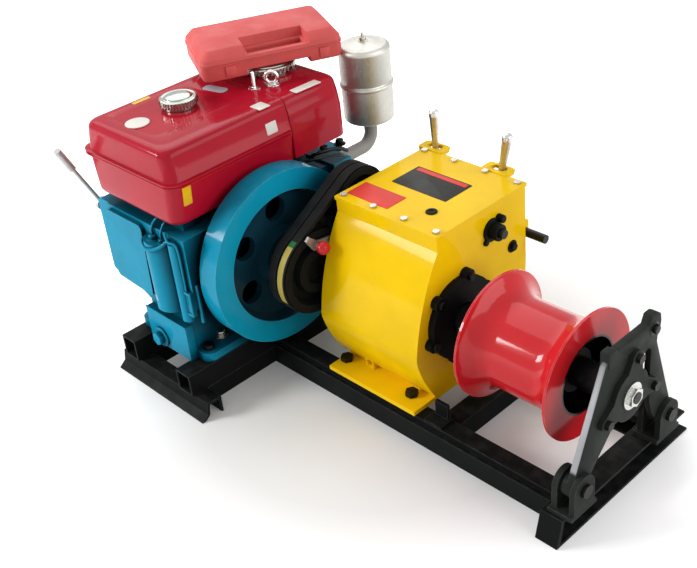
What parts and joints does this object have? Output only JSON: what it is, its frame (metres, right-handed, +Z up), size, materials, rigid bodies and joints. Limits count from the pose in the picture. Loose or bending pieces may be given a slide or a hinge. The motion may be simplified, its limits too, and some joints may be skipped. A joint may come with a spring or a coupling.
{
  "type": "diesel winch",
  "caption": "Belt-driven diesel winch on a steel skid: flywheel engine, enclosed reduction gearbox and a flared pulling drum carried by an outboard bearing support.",
  "frame": {"origin": "on the floor, under the middle of the object's box", "axes": "+X along the shafts from the engine to the drum's free end, +Y away from the operator's side with the rear cover, +Z up"},
  "size_m": [1.274, 0.746, 0.702],
  "materials": {
    "black_paint": "satin black paint",
    "blue_paint": "gloss blue paint",
    "grey_castings": "machined and cast iron",
    "hood_paint": "gloss crimson paint",
    "silver_paint": "silver paint",
    "yellow_paint": "gloss yellow paint",
    "red_paint": "red paint",
    "dark_paint": "dark grey paint",
    "steel": "bright steel",
    "plated": "bright plating",
    "fasteners": "zinc plate",
    "belt_rubber": "matt black rubber",
    "knob_plastic": "gloss red plastic",
    "case_plastic": "moulded pink-red plastic"
  },
  "bodies": {
    "frame": {"air_cleaner": "silver_paint", "bearing_housing": "dark_paint", "clevis_pins": "fasteners", "clevises": "dark_paint", "crankcase": "blue_paint", "cylinder_head": "blue_paint", "drive_bolts": "fasteners", "drum_cross_beam": "black_paint", "engine_bolts": "fasteners", "engine_tubes": "black_paint", "floor_tubes": "black_paint", "front_cross_channel": "black_paint", "fuel_tank_pan": "hood_paint", "fuel_tank_top": "hood_paint", "gear_cover": "blue_paint", "gearbox_bearings": "steel", "gearbox_housing": "yellow_paint", "gearbox_plugs": "fasteners", "gearbox_top_plate": "yellow_paint", "inner_drive_belt": "belt_rubber", "intake_elbow": "silver_paint", "lever_pivots": "fasteners", "lifting_ring": "steel", "main_bearings": "steel", "outboard_support": "dark_paint", "outer_drive_belt": "belt_rubber", "output_bearing_flange": "dark_paint", "radiator_hood": "hood_paint", "rail_bars": "black_paint", "rails": "black_paint", "rear_cover": "blue_paint", "runners": "black_paint", "stop_bracket": "black_paint", "support_bearing": "steel", "top_plate_screws": "fasteners", "valve_cover": "blue_paint"},
    "crank": {"flywheel": "blue_paint", "crankshaft": "grey_castings", "crank_pulley": "grey_castings"},
    "input": {"input_pulley": "grey_castings", "input_pinion_shaft": "steel"},
    "counter": {"counter_pinion_shaft": "steel", "counter_gear": "steel"},
    "drum_train": {"drum_shaft": "steel", "output_gear": "steel", "drum": "red_paint", "drum_hub": "red_paint", "drive_collar": "dark_paint", "shaft_end_collar": "steel"},
    "speed_lever": {"speed_lever": "plated"},
    "selector_rod": {"selector_rod": "steel"},
    "shift_lever": {"shift_lever": "plated"},
    "shift_rod": {"shift_rod": "steel"},
    "clutch_lever": {"clutch_lever": "steel", "clutch_knob": "knob_plastic"},
    "throttle_lever": {"throttle_lever": "steel"},
    "filler_cap": {"filler_cap": "plated"},
    "radiator_cap": {"radiator_cap": "plated"},
    "tool_case": {"tool_case_tray": "case_plastic"},
    "tool_case_lid": {"tool_case_lid": "case_plastic"}
  },
  "joints": [
    {"name": "crank_spin", "type": "hinge", "parent": "frame", "child": "crank", "pos_m": [-0.2255, -0.074, 0.298], "axis": [1, 0, 0], "continuous": true},
    {"name": "input_spin", "type": "hinge", "parent": "frame", "child": "input", "pos_m": [-0.053, 0.071, 0.412], "axis": [1, 0, 0], "continuous": true},
    {"name": "counter_spin", "type": "hinge", "parent": "frame", "child": "counter", "pos_m": [0.047, 0.1195, 0.33619], "axis": [1, 0, 0], "continuous": true},
    {"name": "drum_spin", "type": "hinge", "parent": "frame", "child": "drum_train", "pos_m": [0.347, 0.036, 0.25], "axis": [1, 0, 0], "continuous": true},
    {"name": "speed_lever_tilt", "type": "hinge", "parent": "frame", "child": "speed_lever", "pos_m": [-0.065, 0.28, 0.43], "axis": [0, 1, 0], "range_deg": [-14, 14]},
    {"name": "selector_slide", "type": "slide", "parent": "frame", "child": "selector_rod", "axis": [1, 0, 0], "range_m": [-0.0255, 0.0255]},
    {"name": "shift_lever_tilt", "type": "hinge", "parent": "frame", "child": "shift_lever", "pos_m": [0.119, 0.28, 0.43], "axis": [0, 1, 0], "range_deg": [-23.4, 0]},
    {"name": "shift_slide", "type": "slide", "parent": "frame", "child": "shift_rod", "axis": [1, 0, 0], "range_m": [-0.0005, 0.0122]},
    {"name": "clutch_lever_swing", "type": "hinge", "parent": "frame", "child": "clutch_lever", "pos_m": [-0.093, -0.004, 0.35], "axis": [1, 0, 0], "range_deg": [-25, 8]},
    {"name": "throttle_swing", "type": "hinge", "parent": "frame", "child": "throttle_lever", "pos_m": [-0.628, -0.268, 0.38], "axis": [1, 0, 0], "range_deg": [-20, 20]},
    {"name": "filler_cap_turn", "type": "hinge", "parent": "frame", "child": "filler_cap", "pos_m": [-0.458, -0.116, 0.612], "axis": [0, 0, 1], "range_deg": [0, 90]},
    {"name": "radiator_cap_turn", "type": "hinge", "parent": "frame", "child": "radiator_cap", "pos_m": [-0.448, 0.141, 0.612], "axis": [0, 0, 1], "range_deg": [0, 90]},
    {"name": "tool_case_lift", "type": "slide", "parent": "frame", "child": "tool_case", "axis": [0, 0, 1], "range_m": [0, 0.25]},
    {"name": "tool_case_lid_hinge", "type": "hinge", "parent": "tool_case", "child": "tool_case_lid", "pos_m": [-0.56773, 0.19478, 0.672], "axis": [-0.4431, -0.8965, 0], "range_deg": [0, 100]}
  ],
  "couplings": [
    {"joint": "input_spin", "follows": "crank_spin", "ratio": 1.3714},
    {"joint": "counter_spin", "follows": "crank_spin", "ratio": -0.45714},
    {"joint": "drum_spin", "follows": "crank_spin", "ratio": 0.15238},
    {"joint": "selector_slide", "follows": "speed_lever_tilt", "m_per_rad": -0.1},
    {"joint": "shift_slide", "follows": "shift_lever_tilt", "m_per_rad": -0.028}
  ]
}
